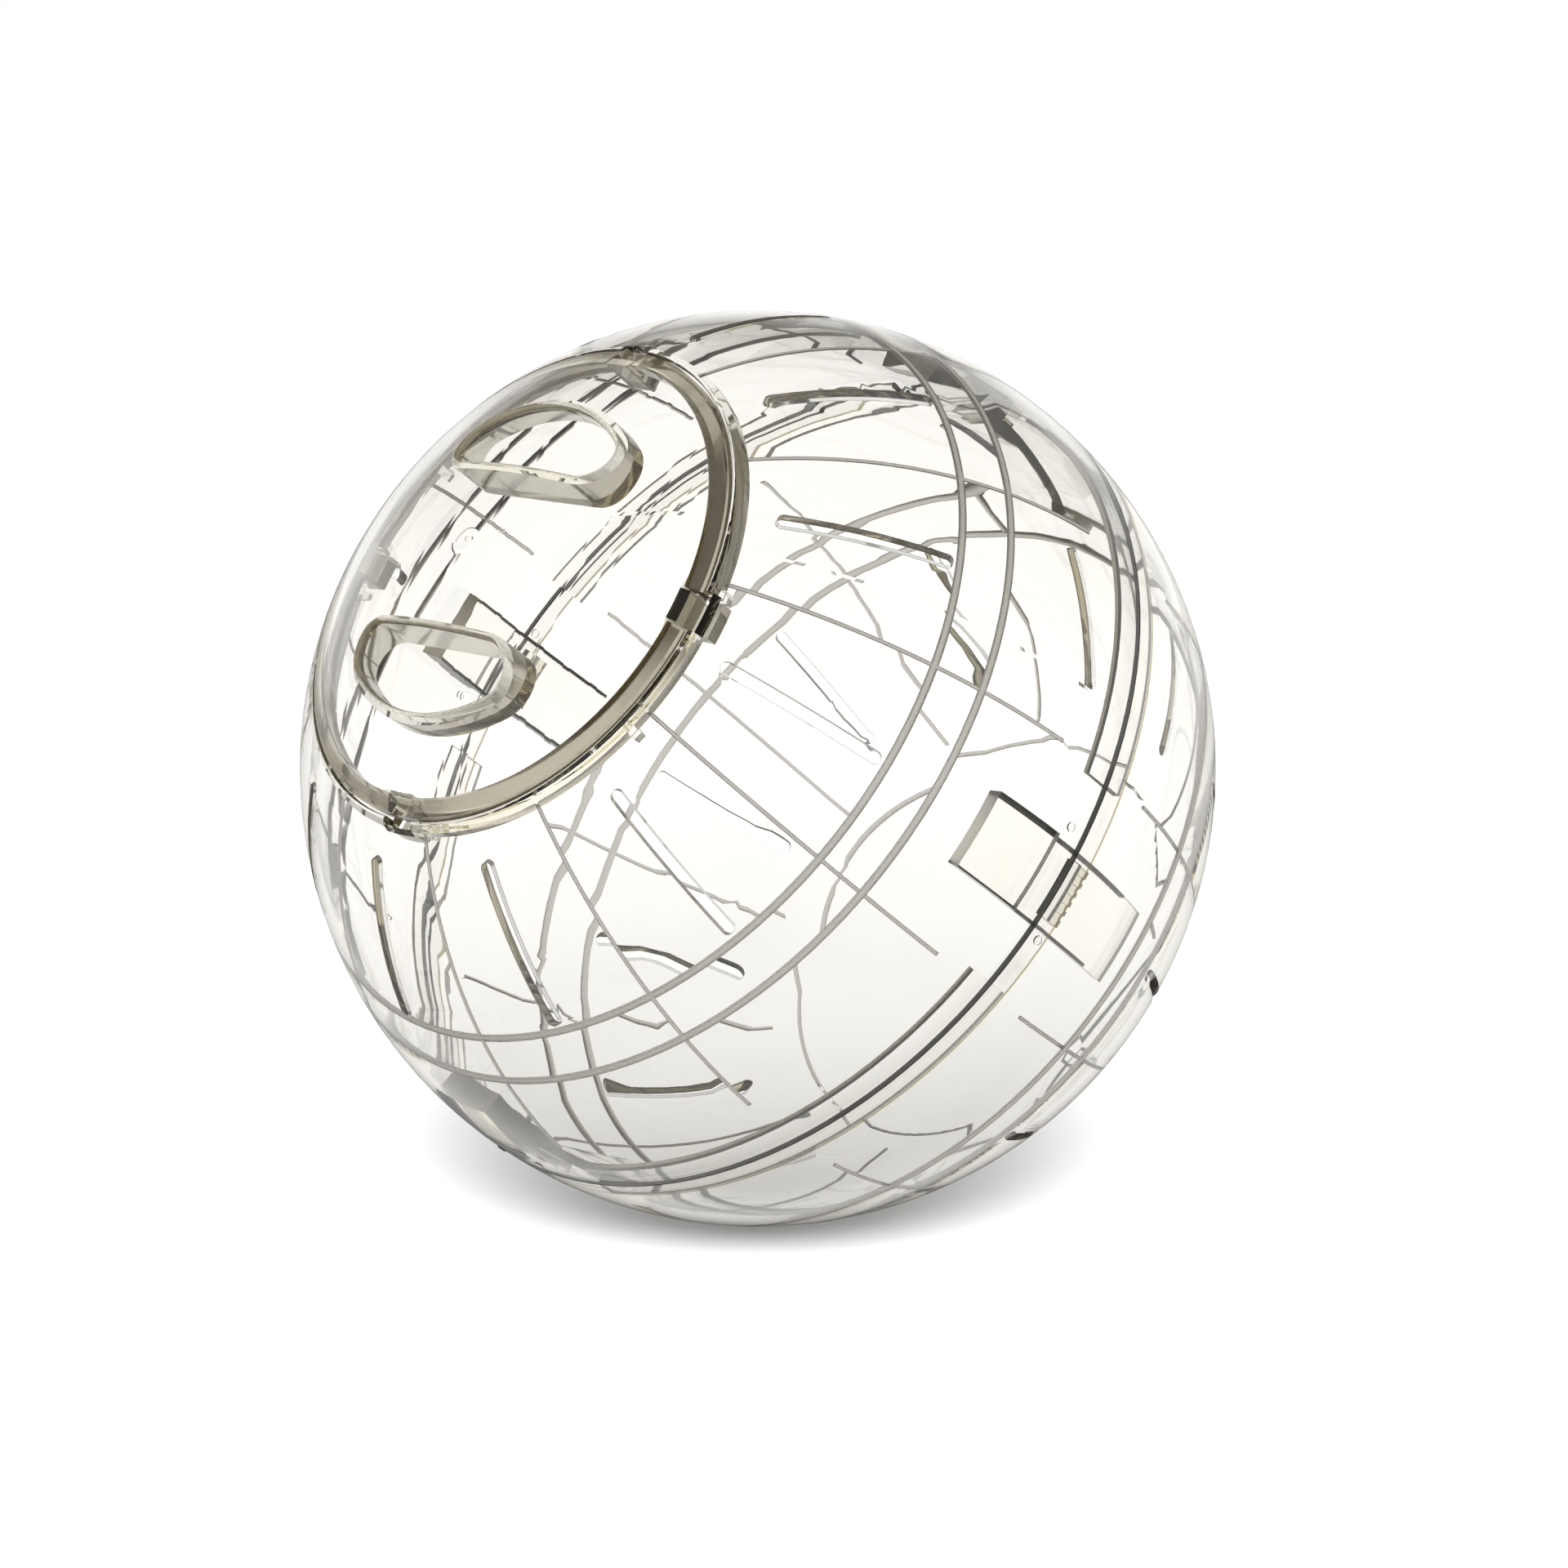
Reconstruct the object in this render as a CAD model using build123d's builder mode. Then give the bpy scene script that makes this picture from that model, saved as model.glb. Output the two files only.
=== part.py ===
from build123d import *
import os
from math import acos, asin, degrees, sqrt

# Hamster ball: two clear half shells that twist together at the equator. The front half has a round
# door at its pole, closed by a bayonet lid with two finger pockets. All lengths are millimetres and
# all angles are degrees.

# The ball and how it lies
BALL_RADIUS = 90.0
WALL = 2.0
AXIS_LEAN = 55.0
SHELL_TURN = -7.5

# Gaps between moulded pieces
SEAM_GAP = 0.3
RUNNING_GAP = 0.3
SIDE_GAP = 0.4
STOP_GAP = 0.35

# Door in the front half, with its bayonet flange and the stops below it
DOOR_RADIUS = 50.4
DOOR_LIP_ROUND = 0.5
FLANGE_DROP = 0.25
FLANGE_REACH = 2.7
FLANGE_ROOT = 1.0
FLANGE_THICKNESS = 2.0
NOTCH_ANGLE = 9.0
NOTCH_TURN = 7.5
NOTCH_RELIEF = 0.2
STOP_ANGLE = 2.0
STOP_REACH = 2.4

# Lid, with its broken rim and the legs that carry its lugs
LIP_REACH = 1.1
RIM_WIDTH = 2.9
RIM_GAP = 0.5
LEG_WALL = 1.8
LUG_COUNT = 4
LUG_ANGLE = 7.7
LUG_REACH = 1.2
LUG_THICKNESS = 2.3
LOCK_TURN = 22.5

# Finger pockets in the lid
POCKET_RADIUS = 32.5
POCKET_WIDTH = 15.0
POCKET_CORNER = 5.0
POCKET_DROP = 11.5
POCKET_WALL = 1.8
POCKET_MOUTH_ROUND = 0.9

# Air slots and stiffening ribs
SLOT_COUNT = 12
SLOT_LENGTH = 33.1
SLOT_WIDTH = 2.4
SLOT_MARGIN = 6.7
RING_COUNT = 2
RING_MARGIN = 1.8
RING_PITCH = 10.4
RING_WIDTH = 1.6
RING_HEIGHT = 0.7
RIB_WIDTH = 0.8
RIB_HEIGHT = 0.4
RIB_RISE = 12.9
POLE_RING_RADIUS = 46.0

# Twist lock at the equator: tongues on the front half, a spigot with keepers on the rear half
STATION_COUNT = 4
TONGUE_ANGLE = 10.6
TONGUE_THICKNESS = 1.8
TONGUE_REACH = 30.0
PAD_HEIGHT = 20.7
PAD_CLEARANCE = 0.6
CATCH_ANGLE = 7.7
CATCH_HEIGHT = 2.8
CATCH_GAP = 0.7
GROOVE_COUNT = 5
GROOVE_DEPTH = 0.5
KEEPER_START = 1.0
KEEPER_HEIGHT = 2.4
SPIGOT_GAP = 0.6
SPIGOT_WALL = 1.1
SPIGOT_REACH = 4.4
SPIGOT_ROOT = 5.0
SPIGOT_LEAD = 0.4
SPIGOT_BREAK = 27.6
DOT_RADIUS = 0.9
DOT_HEIGHT = 0.35
DOT_ANGLE = 6.5
FRONT_DOT_RISE = 4.7
REAR_DOT_RISE = 2.4



def height_at_reach(reach, radius):
    """The height above the equator of a sphere of this radius, this far from the axis."""
    return sqrt(radius**2 - reach**2)


def latitude_at_height(height, radius):
    """The latitude at which a sphere of this radius reaches this height above the equator."""
    return degrees(asin(height / radius))


def latitude_at_reach(reach, radius):
    """The latitude at which a sphere of this radius stands this far from the axis."""
    return degrees(acos(reach / radius))


# Sizes that follow from those
inner_radius = BALL_RADIUS - WALL
middle_radius = BALL_RADIUS - WALL / 2

flange_top = height_at_reach(DOOR_RADIUS, inner_radius) - FLANGE_DROP
flange_bottom = flange_top - FLANGE_THICKNESS
flange_radius = DOOR_RADIUS - FLANGE_REACH
flange_root = DOOR_RADIUS + FLANGE_ROOT
door_edge = height_at_reach(DOOR_RADIUS, middle_radius)

lip_radius = DOOR_RADIUS - SIDE_GAP
rim_radius = lip_radius - LIP_REACH
rim_bore = rim_radius - RIM_WIDTH
rim_bottom = flange_top + RUNNING_GAP
rim_top = height_at_reach(rim_radius - RIM_WIDTH / 2, middle_radius)
leg_radius = flange_radius - SIDE_GAP
leg_bore = leg_radius - LEG_WALL
leg_top = height_at_reach(leg_radius - LEG_WALL / 2, middle_radius)
lug_radius = DOOR_RADIUS + LUG_REACH
lug_top = flange_bottom - RUNNING_GAP
lug_bottom = lug_top - LUG_THICKNESS
lug_pitch = 360 / LUG_COUNT
lug_angles = [index * lug_pitch for index in range(LUG_COUNT)]
notch_radius = lug_radius + SIDE_GAP
rim_start = LUG_ANGLE / 2 + degrees(RIM_GAP / lip_radius)
stop_gap_angle = degrees(STOP_GAP / lip_radius)
pocket_floor = BALL_RADIUS - POCKET_DROP
pocket_chord = POCKET_RADIUS - POCKET_WIDTH

slot_pitch = 360 / SLOT_COUNT
slot_angles = [index * slot_pitch for index in range(SLOT_COUNT)]

spigot_outside = inner_radius - SPIGOT_GAP
spigot_inside = spigot_outside - SPIGOT_WALL
tongue_outside = spigot_inside - RUNNING_GAP
tongue_inside = tongue_outside - TONGUE_THICKNESS
pad_foot = SPIGOT_REACH + PAD_CLEARANCE
catch_radius = inner_radius - CATCH_GAP
catch_top = KEEPER_START + KEEPER_HEIGHT + RUNNING_GAP
catch_bottom = catch_top + CATCH_HEIGHT
groove_pitch = CATCH_ANGLE / (GROOVE_COUNT + 1)
station_pitch = 360 / STATION_COUNT
stations = [index * station_pitch for index in range(STATION_COUNT)]

# Each piece is drawn upright, with Z out through its pole and X through a lock station, and is then
# laid on the plane of its half. The rear half is turned over about the line through a station.
front_place = Plane.XY.moved(Rotation(AXIS_LEAN, 0, 0)).moved(Rotation(0, 0, SHELL_TURN))
rear_place = front_place.moved(Rotation(180, 0, 0))


def meridian(angle):
    """The plane through the axis at this angle, with X outwards and Y along the axis."""
    return Plane.XZ.rotated((0, 0, angle))


def surface(angle, latitude):
    """The plane that touches the ball at this angle and latitude, with X along the meridian."""
    return Plane.XY.moved(Rotation(0, 0, angle)).moved(Rotation(0, 90 - latitude, 0)).offset(BALL_RADIUS)


def wall_slice(plane, inside, outside, low, high):
    """A slice of a round wall in a meridian plane, between two latitudes."""
    with BuildSketch(plane) as face:
        with BuildLine():
            outer = CenterArc((0, 0), outside, low, high - low)
            inner = CenterArc((0, 0), inside, low, high - low)
            Line(outer @ 0, inner @ 0)
            Line(outer @ 1, inner @ 1)
        make_face()
    return face.sketch.face()


def block_slice(plane, inside, outside, low, high):
    """A rectangle in a meridian plane, between two radii and two heights."""
    with BuildSketch(plane) as face:
        with Locations((inside, low)):
            Rectangle(outside - inside, high - low, align=Align.MIN)
    return face.sketch.face()


def dots(rise):
    """Small raised marks beside each lock station, to line the halves up."""
    with BuildPart() as marks:
        for station in stations:
            place = surface(station + DOT_ANGLE, latitude_at_height(rise, BALL_RADIUS))
            with BuildSketch(place.offset(-WALL / 2)):
                Circle(DOT_RADIUS)
        extrude(amount=WALL / 2 + DOT_HEIGHT)
    return marks.part


# One round-backed rib, along the meridian through X
rib_path = inner_radius - RIB_HEIGHT + RIB_WIDTH / 2
rib_start = latitude_at_height(RIB_RISE, inner_radius)
rib_end = latitude_at_reach(DOOR_RADIUS + FLANGE_ROOT / 2, inner_radius)
with BuildPart() as rib:
    with BuildSketch(Plane.XY.rotated((0, -rib_start, 0))):
        with Locations((rib_path, 0)):
            Circle(RIB_WIDTH / 2)
    revolve(axis=-Axis.Y, revolution_arc=rib_end - rib_start)

# The bowl that both halves share: round wall, rings and ribs on the inside, air slots between the ribs
section = meridian(0.75 * slot_pitch)
seam_latitude = latitude_at_height(SEAM_GAP / 2, BALL_RADIUS)
pole_latitude = latitude_at_reach(0, BALL_RADIUS)
flange_latitude = latitude_at_reach(flange_root, inner_radius)
slot_latitude = flange_latitude - degrees((SLOT_MARGIN + SLOT_LENGTH / 2) / BALL_RADIUS)
ring_latitude = slot_latitude - degrees((SLOT_LENGTH / 2 + RING_MARGIN) / BALL_RADIUS)
ring_step = degrees(RING_PITCH / BALL_RADIUS)
ring_path = inner_radius - RING_HEIGHT + RING_WIDTH / 2
with BuildPart() as bowl:
    revolve([wall_slice(section, inner_radius, BALL_RADIUS, seam_latitude, pole_latitude)])
    with BuildSketch(section):
        with PolarLocations(ring_path, RING_COUNT, ring_latitude, -RING_COUNT * ring_step):
            Circle(RING_WIDTH / 2)
    revolve()
    with PolarLocations(0, SLOT_COUNT, slot_pitch / 2):
        add(rib.part)
    for angle in slot_angles:
        with BuildSketch(surface(angle, slot_latitude)):
            SlotOverall(SLOT_LENGTH, SLOT_WIDTH)
    extrude(amount=-SLOT_LENGTH / 2, mode=Mode.SUBTRACT)

# Front half: its tongues reach inside the rear half, each with a grooved catch
stop_starts = (
    NOTCH_TURN + NOTCH_ANGLE / 2 + stop_gap_angle,
    NOTCH_TURN - LOCK_TURN - LUG_ANGLE / 2 - stop_gap_angle - STOP_ANGLE,
)
tip_latitude = -latitude_at_height(TONGUE_REACH, tongue_outside)
foot_latitude = latitude_at_height(pad_foot, tongue_outside)
top_latitude = latitude_at_height(PAD_HEIGHT, inner_radius)
with BuildPart() as front_half:
    add(bowl.part)

    # Door with its flange, the stops that end the lid's turn, and the notches that let its lugs in
    revolve([block_slice(section, flange_radius, flange_root, flange_bottom, door_edge)])
    with BuildSketch(Plane.XY.offset(flange_top)):
        Circle(DOOR_RADIUS)
    extrude(amount=BALL_RADIUS, mode=Mode.SUBTRACT)
    fillet(front_half.edges().filter_by(GeomType.CIRCLE).sort_by(Axis.Z)[-1], DOOR_LIP_ROUND)
    stops = [
        block_slice(
            meridian(angle + start),
            DOOR_RADIUS - STOP_REACH,
            DOOR_RADIUS + FLANGE_ROOT / 2,
            lug_bottom,
            flange_bottom + FLANGE_THICKNESS / 2,
        )
        for angle in lug_angles
        for start in stop_starts
    ]
    revolve(stops, revolution_arc=STOP_ANGLE)
    notches = [
        block_slice(
            meridian(angle + NOTCH_TURN - NOTCH_ANGLE / 2),
            leg_radius,
            notch_radius,
            flange_bottom - NOTCH_RELIEF,
            BALL_RADIUS,
        )
        for angle in lug_angles
    ]
    revolve(notches, revolution_arc=NOTCH_ANGLE, mode=Mode.SUBTRACT)

    # Tongues and their catches
    for station in stations:
        with BuildSketch(meridian(station - TONGUE_ANGLE / 2)):
            with BuildLine():
                free = CenterArc((0, 0), tongue_outside, tip_latitude, foot_latitude - tip_latitude)
                fused = CenterArc((0, 0), middle_radius, foot_latitude, top_latitude - foot_latitude)
                back = CenterArc((0, 0), tongue_inside, tip_latitude, top_latitude - tip_latitude)
                Line(free @ 1, fused @ 0)
                Line(fused @ 1, back @ 1)
                Line(free @ 0, back @ 0)
            make_face()
    revolve(revolution_arc=TONGUE_ANGLE)
    catches = [
        block_slice(
            meridian(station - CATCH_ANGLE / 2),
            tongue_outside - TONGUE_THICKNESS / 2,
            catch_radius,
            -catch_bottom,
            -catch_top,
        )
        for station in stations
    ]
    revolve(catches, revolution_arc=CATCH_ANGLE)
    grooves = [
        block_slice(
            meridian(station - CATCH_ANGLE / 2 + (index + 0.75) * groove_pitch),
            catch_radius - GROOVE_DEPTH,
            inner_radius,
            -catch_bottom - RUNNING_GAP,
            -catch_top + RUNNING_GAP,
        )
        for station in stations
        for index in range(GROOVE_COUNT)
    ]
    revolve(grooves, revolution_arc=groove_pitch / 2, mode=Mode.SUBTRACT)
    add(dots(FRONT_DOT_RISE))

# Rear half: a ring round its closed pole, and a broken spigot with a keeper at each station
pole_ring_latitude = latitude_at_reach(POLE_RING_RADIUS, inner_radius)
with BuildPart() as rear_half:
    add(bowl.part)
    with BuildSketch(section):
        with PolarLocations(rib_path, 1, pole_ring_latitude):
            Circle(RIB_WIDTH / 2)
    revolve()
    for station in stations:
        with BuildSketch(meridian(station + SPIGOT_BREAK / 2)):
            with BuildLine():
                Polyline(
                    (spigot_inside, SPIGOT_ROOT),
                    (spigot_inside, -SPIGOT_REACH),
                    (spigot_outside - SPIGOT_LEAD, -SPIGOT_REACH),
                    (spigot_outside, SPIGOT_LEAD - SPIGOT_REACH),
                    (spigot_outside, KEEPER_START),
                    (middle_radius, KEEPER_START),
                    (middle_radius, SPIGOT_ROOT),
                    close=True,
                )
            make_face()
    revolve(revolution_arc=station_pitch - SPIGOT_BREAK)
    keepers = [
        block_slice(
            meridian(station - CATCH_ANGLE / 2),
            spigot_inside,
            middle_radius,
            KEEPER_START,
            KEEPER_START + KEEPER_HEIGHT,
        )
        for station in stations
    ]
    revolve(keepers, revolution_arc=CATCH_ANGLE)
    add(dots(REAR_DOT_RISE))

# Lid: a dome that sits in the door, with two finger pockets, a broken rim and four bayonet lugs
lip_latitude = latitude_at_reach(lip_radius, BALL_RADIUS)
lip_foot_latitude = latitude_at_reach(lip_radius, inner_radius)
with BuildSketch(Plane.XY.offset(pocket_floor)) as pocket:
    Circle(POCKET_RADIUS)
    with Locations((0, pocket_chord)):
        Rectangle(2 * POCKET_RADIUS, POCKET_RADIUS, align=(Align.CENTER, Align.MIN), mode=Mode.INTERSECT)
    fillet(pocket.vertices(), POCKET_CORNER)
    mirror(about=Plane.XZ)
with BuildPart() as lid:
    with BuildSketch(Plane.XY.offset(pocket_floor - POCKET_WALL)):
        add(pocket.sketch_local)
        offset(amount=POCKET_WALL)
    extrude(amount=BALL_RADIUS - pocket_floor)
    Sphere(middle_radius, mode=Mode.INTERSECT)
    with BuildSketch(section):
        with BuildLine():
            outer = CenterArc((0, 0), BALL_RADIUS, lip_latitude, pole_latitude - lip_latitude)
            inner = CenterArc((0, 0), inner_radius, lip_foot_latitude, pole_latitude - lip_foot_latitude)
            Line(outer @ 0, inner @ 0)
            Line(outer @ 1, inner @ 1)
        make_face()
    revolve()
    extrude(pocket.sketch.faces(), amount=POCKET_DROP, mode=Mode.SUBTRACT)
    dome = lid.faces().filter_by(GeomType.SPHERE).sort_by(SortBy.AREA)[-1]
    fillet([edge for mouth in dome.inner_wires() for edge in mouth.edges()], POCKET_MOUTH_ROUND)

    rims = [
        block_slice(meridian(angle + rim_start), rim_bore, rim_radius, rim_bottom, rim_top)
        for angle in lug_angles
    ]
    revolve(rims, revolution_arc=lug_pitch - 2 * rim_start)
    for angle in lug_angles:
        with BuildSketch(meridian(angle - LUG_ANGLE / 2)):
            with BuildLine():
                Polyline(
                    (leg_bore, leg_top),
                    (leg_bore, lug_bottom),
                    (lug_radius, lug_bottom),
                    (lug_radius, lug_top),
                    (leg_radius, lug_top),
                    (leg_radius, leg_top),
                    close=True,
                )
            make_face()
    revolve(revolution_arc=LUG_ANGLE)

# The pieces in place, with the lid's lugs at their entry notches
with BuildPart(front_place) as front_shell:
    add(front_half.part)
with BuildPart(rear_place) as rear_shell:
    add(rear_half.part)
with BuildPart(front_place.moved(Rotation(0, 0, NOTCH_TURN))) as front_lid:
    add(lid.part)

front_shell.part.label = "front_shell"
rear_shell.part.label = "rear_shell"
front_lid.part.label = "front_lid"

os.makedirs("parts", exist_ok=True)
export_step(front_shell.part, "parts/front_shell.step")
export_step(rear_shell.part, "parts/rear_shell.step")
export_step(front_lid.part, "parts/front_lid.step")
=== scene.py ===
from math import cos, pi, radians, sin

import bpy
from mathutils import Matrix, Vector

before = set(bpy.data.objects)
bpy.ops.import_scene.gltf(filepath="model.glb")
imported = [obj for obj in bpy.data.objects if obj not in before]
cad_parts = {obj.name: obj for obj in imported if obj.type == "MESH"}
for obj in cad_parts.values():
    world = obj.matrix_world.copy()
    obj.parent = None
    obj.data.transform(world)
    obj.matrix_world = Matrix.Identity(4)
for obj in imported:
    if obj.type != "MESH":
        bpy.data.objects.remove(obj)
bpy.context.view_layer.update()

# Lengths are metres and angles are degrees
BALL_RADIUS = 0.09
AXIS = Vector((0.0, -0.819152, 0.573576))
ACROSS = Vector((1.0, 0.0, 0.0))

# Camera
VIEW_AZIMUTH = 47.7
VIEW_ELEVATION = 10.0
VIEW_DISTANCE = 0.8955
LENS = 104.2
SENSOR = 36.0
SHIFT_X = 0.0167
SHIFT_Y = -0.0101

# Floor: its paint for light, its paint and glow for the eye, the strength of its even light that hides
# the shadow where it is seen through the plastic, and the share of that light
FLOOR_RADIUS = 20.0
FLOOR_SIDES = 64
FLOOR_COLOUR = (0.95, 0.95, 0.95, 1.0)
FLOOR_SEEN = (1.55, 1.55, 1.55, 1.0)
FLOOR_GLOW = 1.0
FLOOR_CLEAR = 0.75
FLOOR_CLEAR_LIGHT = 1.0

# Round the contact point the glow and the even light are weaker: a painted shadow on the floor round
# the contact, also where it is seen through the plastic
CONTACT_RADIUS = 0.18
CONTACT_GLOW = 0.12
CONTACT_SHADE = 0.25

# Room and key light
ROOM_LIGHT = (0.14, 0.14, 0.14, 1.0)
HORIZON = (1.0, 1.0, 1.0, 1.0)
CEILING = (0.25, 0.24, 0.22, 1.0)
HORIZON_TOP = 0.12
CEILING_START = 0.45
KEY_ELEVATION = 30.0
KEY_SPREAD = 24.0
KEY_STRENGTH = 2.7

# Clear plastic: its walls and the kinds of face that look different, each with a colour, a roughness
# and the share of light that passes. The colours of ribs, slots, seam, tongues, lip, pocket and rim
# are painted shade, for the darkening that refraction gives at the plastic's edges and beads
PLASTIC_IOR = 1.49
PLASTIC_TINT = (0.87, 0.84, 0.73, 1.0)
PLASTIC_DENSITY = 80.0
WALL_PALE = (1.0, 1.0, 1.0, 1.0)
WALL_DEEP = (0.98, 0.975, 0.965, 1.0)
WALL_ROUGHNESS = 0.01
WALL_CLEAR = 1.0
RIB_PAINTED_SHADE = (0.32, 0.305, 0.28, 1.0)
RIB_ROUGHNESS = 0.5
SLOT_PAINTED_SHADE = (0.34, 0.31, 0.25, 1.0)
SLOT_CLEAR = 0.5
SLOT_FAINT = 0.3
SEAM_PAINTED_SHADE = (0.07, 0.064, 0.05, 1.0)
SEAM_CLEAR = 0.1
LIP_PAINTED_SHADE = (0.40, 0.33, 0.18, 1.0)
LIP_CLEAR = 0.6
LIP_FAINT = 0.15
END_COLOUR = (1.0, 0.99, 0.97, 1.0)
END_ROUGHNESS = 0.7
CATCH_COLOUR = (0.80, 0.74, 0.60, 1.0)
CATCH_ROUGHNESS = 0.35
POCKET_PAINTED_SHADE = (0.62, 0.60, 0.54, 1.0)
POCKET_CLEAR = 0.9
RIM_PAINTED_SHADE = (0.48, 0.45, 0.38, 1.0)
RIM_ROUGHNESS = 0.08
EDGE_ROUGHNESS = 0.05
FLOW_SCALE = 60.0
BOUNCES = 32

# Ripples. The wave texture turns by so many radians for each unit of its scale and length
SHELL_RIPPLE = 0.000002
LID_RIPPLE = 0.000015
RIPPLE_PITCH = 0.011
RIPPLE_BEND = 1.0
WAVE_RADIANS = 20.0

# Where the kinds of face lie, by distance from the ball's centre, from its axis and from its seam
SAME = 0.00003
SAME_SLOPE = 0.0005
WALL_MIDDLE = 0.089
SLOT_MIDDLE = 0.0006
RIB_TOP = 0.08796
RIB_BOTTOM = 0.0872
RIB_RISE = 0.0125
END_RISE = 0.003
CATCH_RISE = 0.0066
TONGUE_RISE = 0.0225
TONGUE_OUTSIDE = 0.0862
RIM_FOOT = 0.067
RIM_RISE = 0.0715
RIM_OUTSIDE = 0.0525
RIM_INSIDE = 0.0454

# A lip along the seam, painted on the rear half's outer wall: a faint strip of painted shade, with a
# full line of it at the strip's edge
LIP_DEPTH = 0.0895
LIP_WIDTH = 0.0043
LIP_LINE = 0.00025

# The lines of painted shade along the sides of the lock tongues
TONGUE_PITCH = 90.0
TONGUE_STATION = 82.5
TONGUE_ANGLE = 10.6
LINE_ANGLE = 0.45


def direction(azimuth, elevation):
    """The unit vector from the ball towards a point at this azimuth and elevation."""
    turn, rise = radians(azimuth), radians(elevation)
    return Vector((sin(turn) * cos(rise), -cos(turn) * cos(rise), sin(rise)))


def aim(obj, away, distance):
    """Puts obj on the line away from the ball's centre and turns it to face the centre."""
    obj.location = away * distance
    obj.rotation_mode = "QUATERNION"
    obj.rotation_quaternion = (-away).to_track_quat("-Z", "Y")
    bpy.context.scene.collection.objects.link(obj)


def feed(links, value, socket):
    """Gives a socket its value: a number, a colour or another socket."""
    if isinstance(value, bpy.types.NodeSocket):
        links.new(value, socket)
    else:
        socket.default_value = value


def math_node(nodes, links, operation, *values):
    """The result of one calculation."""
    node = nodes.new("ShaderNodeMath")
    node.operation = operation
    for value, socket in zip(values, node.inputs):
        feed(links, value, socket)
    return node.outputs["Value"]


def mix_node(nodes, links, data_type, share, below, above):
    """The mix of two values, by the share of the one above."""
    node = nodes.new("ShaderNodeMix")
    node.data_type = data_type
    sockets = {socket.name: socket for socket in node.inputs if socket.enabled}
    feed(links, share, sockets["Factor"])
    feed(links, below, sockets["A"])
    feed(links, above, sockets["B"])
    return next(socket for socket in node.outputs if socket.enabled)


def reach_along(nodes, links, place, axis):
    """How far a place lies along an axis through the ball's centre."""
    node = nodes.new("ShaderNodeVectorMath")
    node.operation = "DOT_PRODUCT"
    node.inputs[1].default_value = axis
    links.new(place, node.inputs[0])
    return node.outputs["Value"]


def tongue_shade_lines(nodes, links, place):
    """A socket that is one along both sides of each lock tongue, where painted shade goes."""
    across = reach_along(nodes, links, place, ACROSS)
    along = reach_along(nodes, links, place, AXIS.cross(ACROSS))
    turn = math_node(nodes, links, "ARCTAN2", along, across)
    turn = math_node(nodes, links, "SUBTRACT", turn, radians(TONGUE_STATION))
    turn = math_node(nodes, links, "PINGPONG", turn, radians(TONGUE_PITCH / 2))
    return math_node(nodes, links, "COMPARE", turn, radians(TONGUE_ANGLE / 2), radians(LINE_ANGLE))


def slot_edge_shade(nodes, links, place):
    """A socket for painted shade on the slot walls: one at the wall's two skins and fainter in the
    middle of its depth.
    """
    depth = nodes.new("ShaderNodeVectorMath")
    depth.operation = "LENGTH"
    links.new(place, depth.inputs[0])
    off_middle = math_node(nodes, links, "SUBTRACT", depth.outputs["Value"], WALL_MIDDLE)
    off_middle = math_node(nodes, links, "ABSOLUTE", off_middle)
    edge = math_node(nodes, links, "GREATER_THAN", off_middle, SLOT_MIDDLE)
    return mix_node(nodes, links, "FLOAT", edge, SLOT_FAINT, 1.0)


def lip_shade_lines(nodes, links, place):
    """A socket for painted shade: one along the lip's edge and fainter from there to the seam."""
    rise = reach_along(nodes, links, place, AXIS)
    edge = math_node(nodes, links, "COMPARE", rise, -LIP_WIDTH, LIP_LINE)
    strip = math_node(nodes, links, "GREATER_THAN", rise, -LIP_WIDTH)
    strip = math_node(nodes, links, "MULTIPLY", strip, LIP_FAINT)
    return math_node(nodes, links, "MAXIMUM", edge, strip)


def ripples(nodes, links, place, height):
    """The normal of a surface with ripples from the plastic's flow in the mould."""
    waves = nodes.new("ShaderNodeTexWave")
    waves.wave_profile = "TRI"
    waves.inputs["Scale"].default_value = 2 * pi / (WAVE_RADIANS * RIPPLE_PITCH)
    waves.inputs["Distortion"].default_value = RIPPLE_BEND
    links.new(place, waves.inputs["Vector"])
    bump = nodes.new("ShaderNodeBump")
    bump.inputs["Distance"].default_value = height
    links.new(waves.outputs["Fac"], bump.inputs["Height"])
    return bump.outputs["Normal"]


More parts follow.
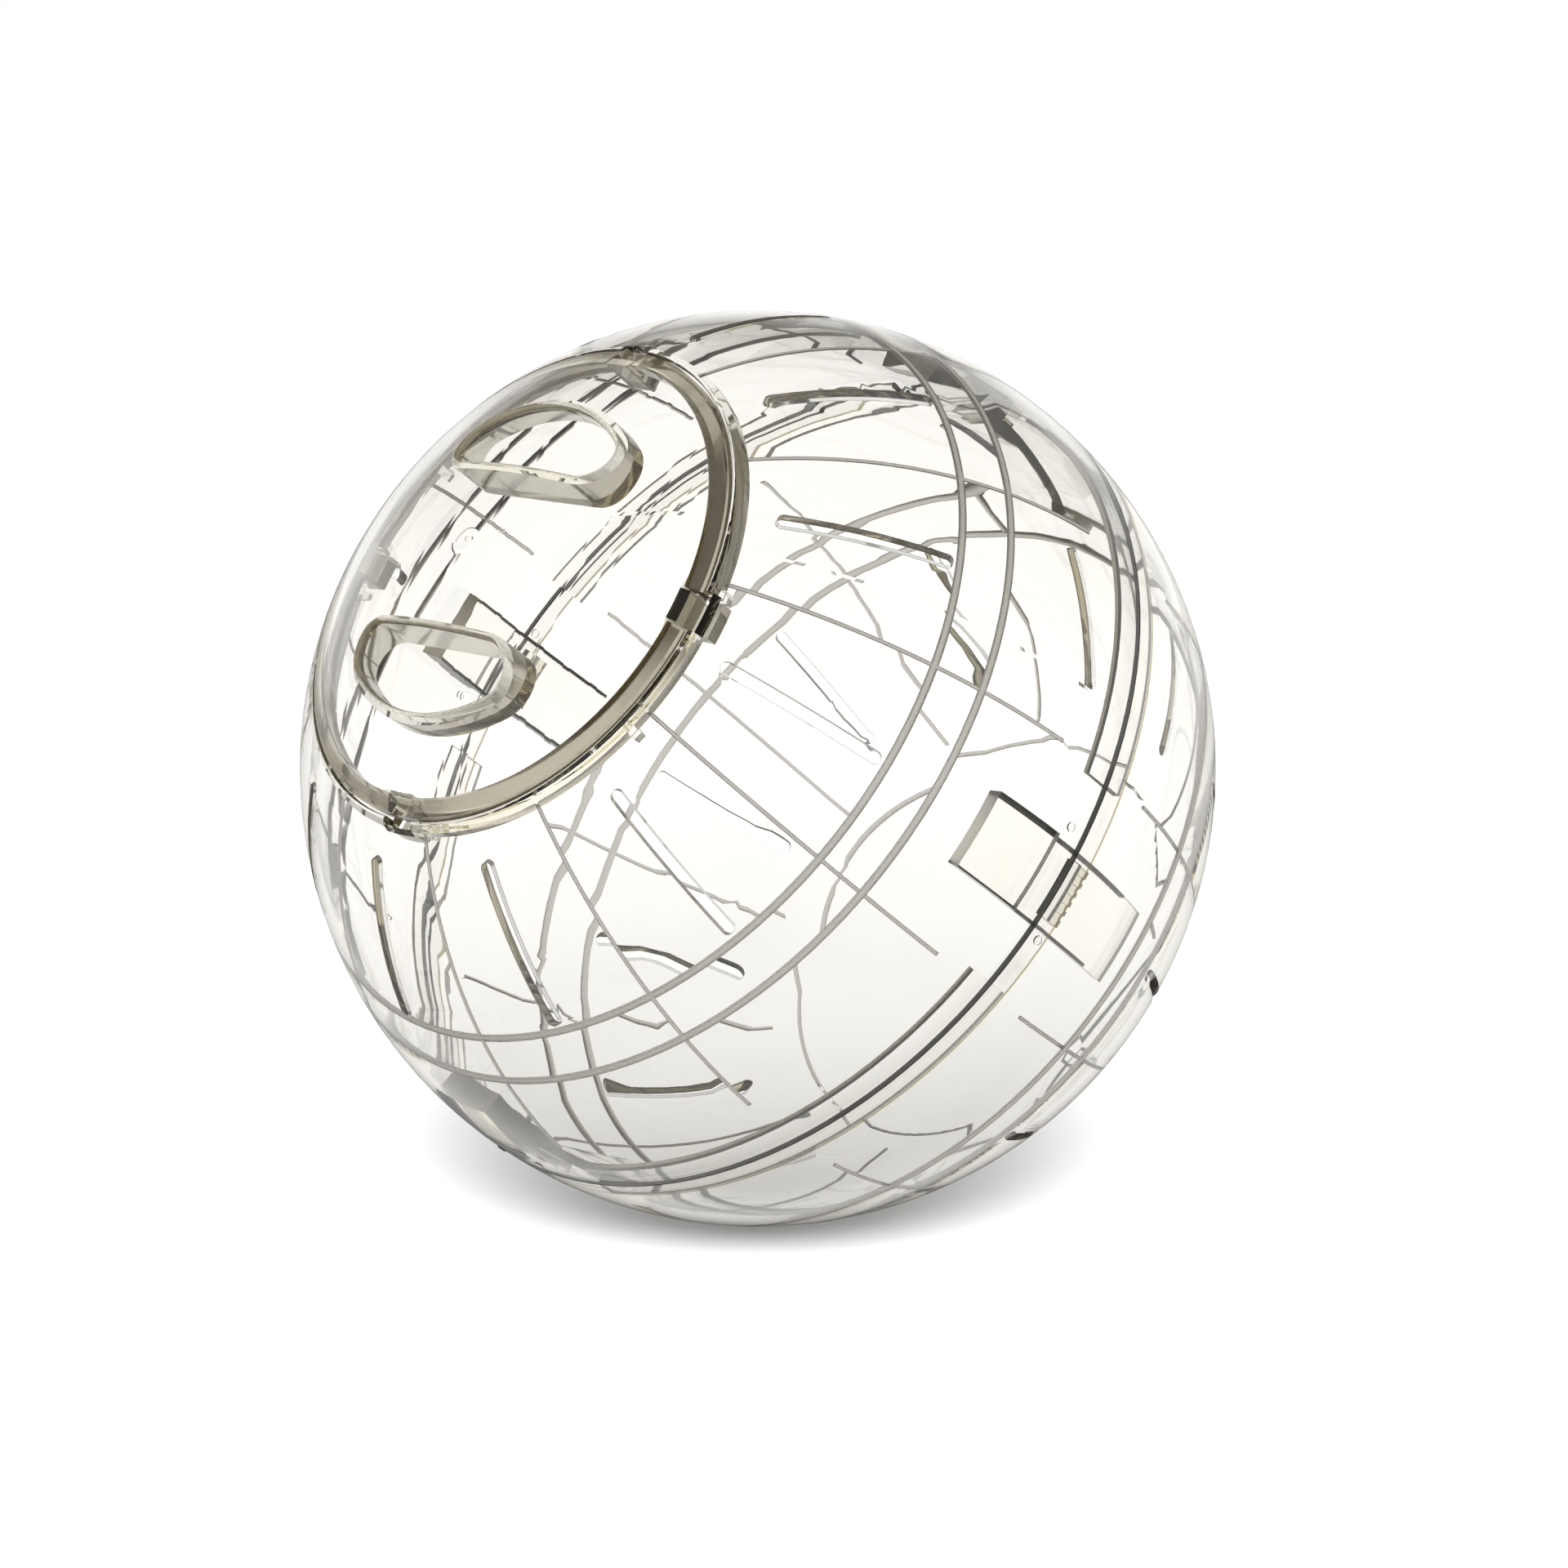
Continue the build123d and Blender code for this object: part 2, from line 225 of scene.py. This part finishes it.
def clear_plastic(name, ripple):
    """Clear plastic with a tint that deepens along the ray, and with the looks of each kind of face,
    most of them painted shade.
    """
    material = bpy.data.materials.new(name)
    material.use_nodes = True
    nodes, links = material.node_tree.nodes, material.node_tree.links
    shader = nodes["Principled BSDF"]
    shader.inputs["IOR"].default_value = PLASTIC_IOR
    place = nodes.new("ShaderNodeTexCoord").outputs["Object"]
    flow = nodes.new("ShaderNodeTexNoise")
    flow.inputs["Scale"].default_value = FLOW_SCALE
    links.new(place, flow.inputs["Vector"])
    colour = mix_node(nodes, links, "RGBA", flow.outputs["Fac"], WALL_PALE, WALL_DEEP)
    roughness, clear = WALL_ROUGHNESS, WALL_CLEAR
    painted_shade_masks = {
        "slot": slot_edge_shade(nodes, links, place),
        "lip": lip_shade_lines(nodes, links, place),
        "tongue": tongue_shade_lines(nodes, links, place),
    }
    # Ribs, slots, seam, tongues, lip, pocket and rim get painted shade; ends and catch a pale and a tan
    # colour
    for kind, kind_colour_and_painted_shade, kind_roughness, kind_clear in (
        ("rib", RIB_PAINTED_SHADE, RIB_ROUGHNESS, WALL_CLEAR),
        ("slot", SLOT_PAINTED_SHADE, EDGE_ROUGHNESS, SLOT_CLEAR),
        ("seam", SEAM_PAINTED_SHADE, EDGE_ROUGHNESS, SEAM_CLEAR),
        ("tongue", SEAM_PAINTED_SHADE, EDGE_ROUGHNESS, SEAM_CLEAR),
        ("lip", LIP_PAINTED_SHADE, EDGE_ROUGHNESS, LIP_CLEAR),
        ("end", END_COLOUR, END_ROUGHNESS, WALL_CLEAR),
        ("catch", CATCH_COLOUR, CATCH_ROUGHNESS, WALL_CLEAR),
        ("pocket", POCKET_PAINTED_SHADE, EDGE_ROUGHNESS, POCKET_CLEAR),
        ("rim", RIM_PAINTED_SHADE, RIM_ROUGHNESS, WALL_CLEAR),
    ):
        mark = nodes.new("ShaderNodeAttribute")
        mark.attribute_name = kind
        share = mark.outputs["Fac"]
        if kind in painted_shade_masks:
            share = math_node(nodes, links, "MULTIPLY", share, painted_shade_masks[kind])
        colour = mix_node(nodes, links, "RGBA", share, colour, kind_colour_and_painted_shade)
        roughness = mix_node(nodes, links, "FLOAT", share, roughness, kind_roughness)
        clear = mix_node(nodes, links, "FLOAT", share, clear, kind_clear)
    links.new(colour, shader.inputs["Base Color"])
    links.new(roughness, shader.inputs["Roughness"])
    links.new(clear, shader.inputs["Transmission Weight"])
    links.new(ripples(nodes, links, place, ripple), shader.inputs["Normal"])
    inside = nodes.new("ShaderNodeVolumeAbsorption")
    inside.inputs["Color"].default_value = PLASTIC_TINT
    inside.inputs["Density"].default_value = PLASTIC_DENSITY
    links.new(inside.outputs["Volume"], nodes["Material Output"].inputs["Volume"])
    return material


def face_kind(piece, face):
    """The kind of a face: wall, or one of those that look different."""
    corners = [piece.matrix_world @ piece.data.vertices[index].co for index in face.vertices]
    depths = [corner.length for corner in corners]
    rises = [corner.dot(AXIS) for corner in corners]
    reaches = [(corner - AXIS * rise).length for corner, rise in zip(corners, rises)]
    heights = [abs(rise) for rise in rises]
    slopes = [height / depth for height, depth in zip(heights, depths)]
    on_sphere = max(depths) - min(depths) < SAME
    on_cylinder = max(reaches) - min(reaches) < SAME
    flat_end = max(rises) - min(rises) < SAME and min(heights) > END_RISE
    radial_end = max(slopes) - min(slopes) < SAME_SLOPE and min(heights) > END_RISE
    if min(rises) > RIM_FOOT and RIM_INSIDE < min(reaches) and max(reaches) < RIM_OUTSIDE:
        if piece.name == "front_lid":
            return "rim" if min(rises) > RIM_RISE else "pocket"
        return "wall"
    if RIB_BOTTOM < min(depths) < RIB_TOP and min(heights) > RIB_RISE:
        return "rib"
    if on_sphere and piece.name == "rear_shell" and min(depths) > LIP_DEPTH:
        return "lip"
    if on_sphere:
        return "tongue" if max(depths) < TONGUE_OUTSIDE and max(heights) < TONGUE_RISE else "wall"
    if piece.name == "front_lid":
        return "wall" if flat_end else "pocket"
    if max(heights) > TONGUE_RISE:
        return "slot"
    if flat_end or radial_end:
        return "end"
    if piece.name == "front_shell" and END_RISE < min(heights) < max(heights) < CATCH_RISE:
        return "catch"
    return "wall" if on_cylinder else "seam"


def ray_kind(nodes, links, *kinds):
    """A socket that is one for rays of these kinds that have met no matte surface on their way."""
    path = nodes.new("ShaderNodeLightPath").outputs
    share = math_node(nodes, links, "LESS_THAN", path["Diffuse Depth"], 1.0)
    first, last = path[kinds[0]], path[kinds[-1]]
    return math_node(nodes, links, "MULTIPLY", share, math_node(nodes, links, "MAXIMUM", first, last))


def contact_fade(nodes, links):
    """A socket that falls from one at the floor's contact point to zero at the contact's radius."""
    spot = nodes.new("ShaderNodeVectorMath")
    spot.operation = "SCALE"
    spot.inputs["Scale"].default_value = 1 / CONTACT_RADIUS
    links.new(nodes.new("ShaderNodeTexCoord").outputs["Object"], spot.inputs[0])
    fade = nodes.new("ShaderNodeTexGradient")
    fade.gradient_type = "SPHERICAL"
    links.new(spot.outputs["Vector"], fade.inputs["Vector"])
    return fade.outputs["Fac"]


def white_floor(name):
    """A matte floor, white to the eye, with a painted shadow round the contact point and a fainter
    shadow where it is seen through the plastic.
    """
    material = bpy.data.materials.new(name)
    material.use_nodes = True
    nodes, links = material.node_tree.nodes, material.node_tree.links
    nodes.remove(nodes["Principled BSDF"])
    near = contact_fade(nodes, links)
    eye = ray_kind(nodes, links, "Is Camera Ray", "Is Transmission Ray")
    matte = nodes.new("ShaderNodeBsdfDiffuse")
    links.new(mix_node(nodes, links, "RGBA", eye, FLOOR_COLOUR, FLOOR_SEEN), matte.inputs["Color"])
    glow = nodes.new("ShaderNodeEmission")
    # Less glow round the contact point: a painted shadow on the floor
    glow_light = mix_node(nodes, links, "FLOAT", near, FLOOR_GLOW, CONTACT_GLOW)
    links.new(math_node(nodes, links, "MULTIPLY", eye, glow_light), glow.inputs["Strength"])
    open_floor = nodes.new("ShaderNodeAddShader")
    links.new(matte.outputs["BSDF"], open_floor.inputs[0])
    links.new(glow.outputs["Emission"], open_floor.inputs[1])
    clear_floor = nodes.new("ShaderNodeEmission")
    clear_floor.inputs["Strength"].default_value = FLOOR_CLEAR_LIGHT
    through = ray_kind(nodes, links, "Is Transmission Ray")
    clearest = math_node(nodes, links, "MULTIPLY", through, FLOOR_CLEAR)
    # Less of the even light round the contact point: a painted shadow where the floor is seen through
    # the plastic
    shade = math_node(nodes, links, "MULTIPLY_ADD", near, -CONTACT_SHADE, 1.0)
    seen_floor = nodes.new("ShaderNodeMixShader")
    links.new(math_node(nodes, links, "MULTIPLY", clearest, shade), seen_floor.inputs["Fac"])
    links.new(open_floor.outputs["Shader"], seen_floor.inputs[1])
    links.new(clear_floor.outputs["Emission"], seen_floor.inputs[2])
    links.new(seen_floor.outputs["Shader"], nodes["Material Output"].inputs["Surface"])
    return material


def studio_world(name):
    """Even light, seen by the eye and in gloss as a white horizon below a dark ceiling."""
    world = bpy.data.worlds.new(name)
    world.use_nodes = True
    nodes, links = world.node_tree.nodes, world.node_tree.links
    parts = nodes.new("ShaderNodeSeparateXYZ")
    links.new(nodes.new("ShaderNodeTexCoord").outputs["Generated"], parts.inputs[0])
    sky = nodes.new("ShaderNodeValToRGB")
    stops = sky.color_ramp.elements
    stops[0].position, stops[0].color = HORIZON_TOP, HORIZON
    stops[1].position, stops[1].color = CEILING_START, CEILING
    links.new(parts.outputs["Z"], sky.inputs["Fac"])
    eye = ray_kind(nodes, links, "Is Camera Ray", "Is Glossy Ray")
    room = mix_node(nodes, links, "RGBA", eye, ROOM_LIGHT, sky.outputs["Color"])
    links.new(room, nodes["Background"].inputs["Color"])
    return world


# The plastic on the three pieces, with a mark on each face for its kind
shell_plastic = clear_plastic("shell_clear", SHELL_RIPPLE)
lid_plastic = clear_plastic("lid_clear", LID_RIPPLE)
for name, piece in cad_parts.items():
    piece.data.materials.clear()
    piece.data.materials.append(lid_plastic if name == "front_lid" else shell_plastic)
    kinds = [face_kind(piece, face) for face in piece.data.polygons]
    for kind in sorted(set(kinds) - {"wall"}):
        marks = piece.data.attributes.new(kind, "FLOAT", "FACE")
        marks.data.foreach_set("value", [float(kind == other) for other in kinds])

# Floor
bpy.ops.mesh.primitive_circle_add(
    vertices=FLOOR_SIDES, radius=FLOOR_RADIUS, fill_type="NGON", location=(0, 0, -BALL_RADIUS)
)
floor = bpy.context.object
floor.name = "floor"
floor.data.materials.append(white_floor("floor"))

# Key light: soft, from above the camera
key_data = bpy.data.lights.new("key", "SUN")
key_data.angle = radians(KEY_SPREAD)
key_data.energy = KEY_STRENGTH
key = bpy.data.objects.new("key", key_data)
key.visible_glossy = False
key.visible_transmission = False
aim(key, direction(VIEW_AZIMUTH, KEY_ELEVATION), VIEW_DISTANCE)

# Camera
camera_data = bpy.data.cameras.new("camera")
camera_data.lens = LENS
camera_data.sensor_width = SENSOR
camera_data.shift_x = SHIFT_X
camera_data.shift_y = SHIFT_Y
camera = bpy.data.objects.new("camera", camera_data)
aim(camera, direction(VIEW_AZIMUTH, VIEW_ELEVATION), VIEW_DISTANCE)

# World and picture
scene = bpy.context.scene
scene.world = studio_world("studio")
scene.camera = camera
scene.view_settings.view_transform = "Standard"
scene.cycles.max_bounces = BOUNCES
scene.cycles.transmission_bounces = BOUNCES
scene.cycles.glossy_bounces = BOUNCES
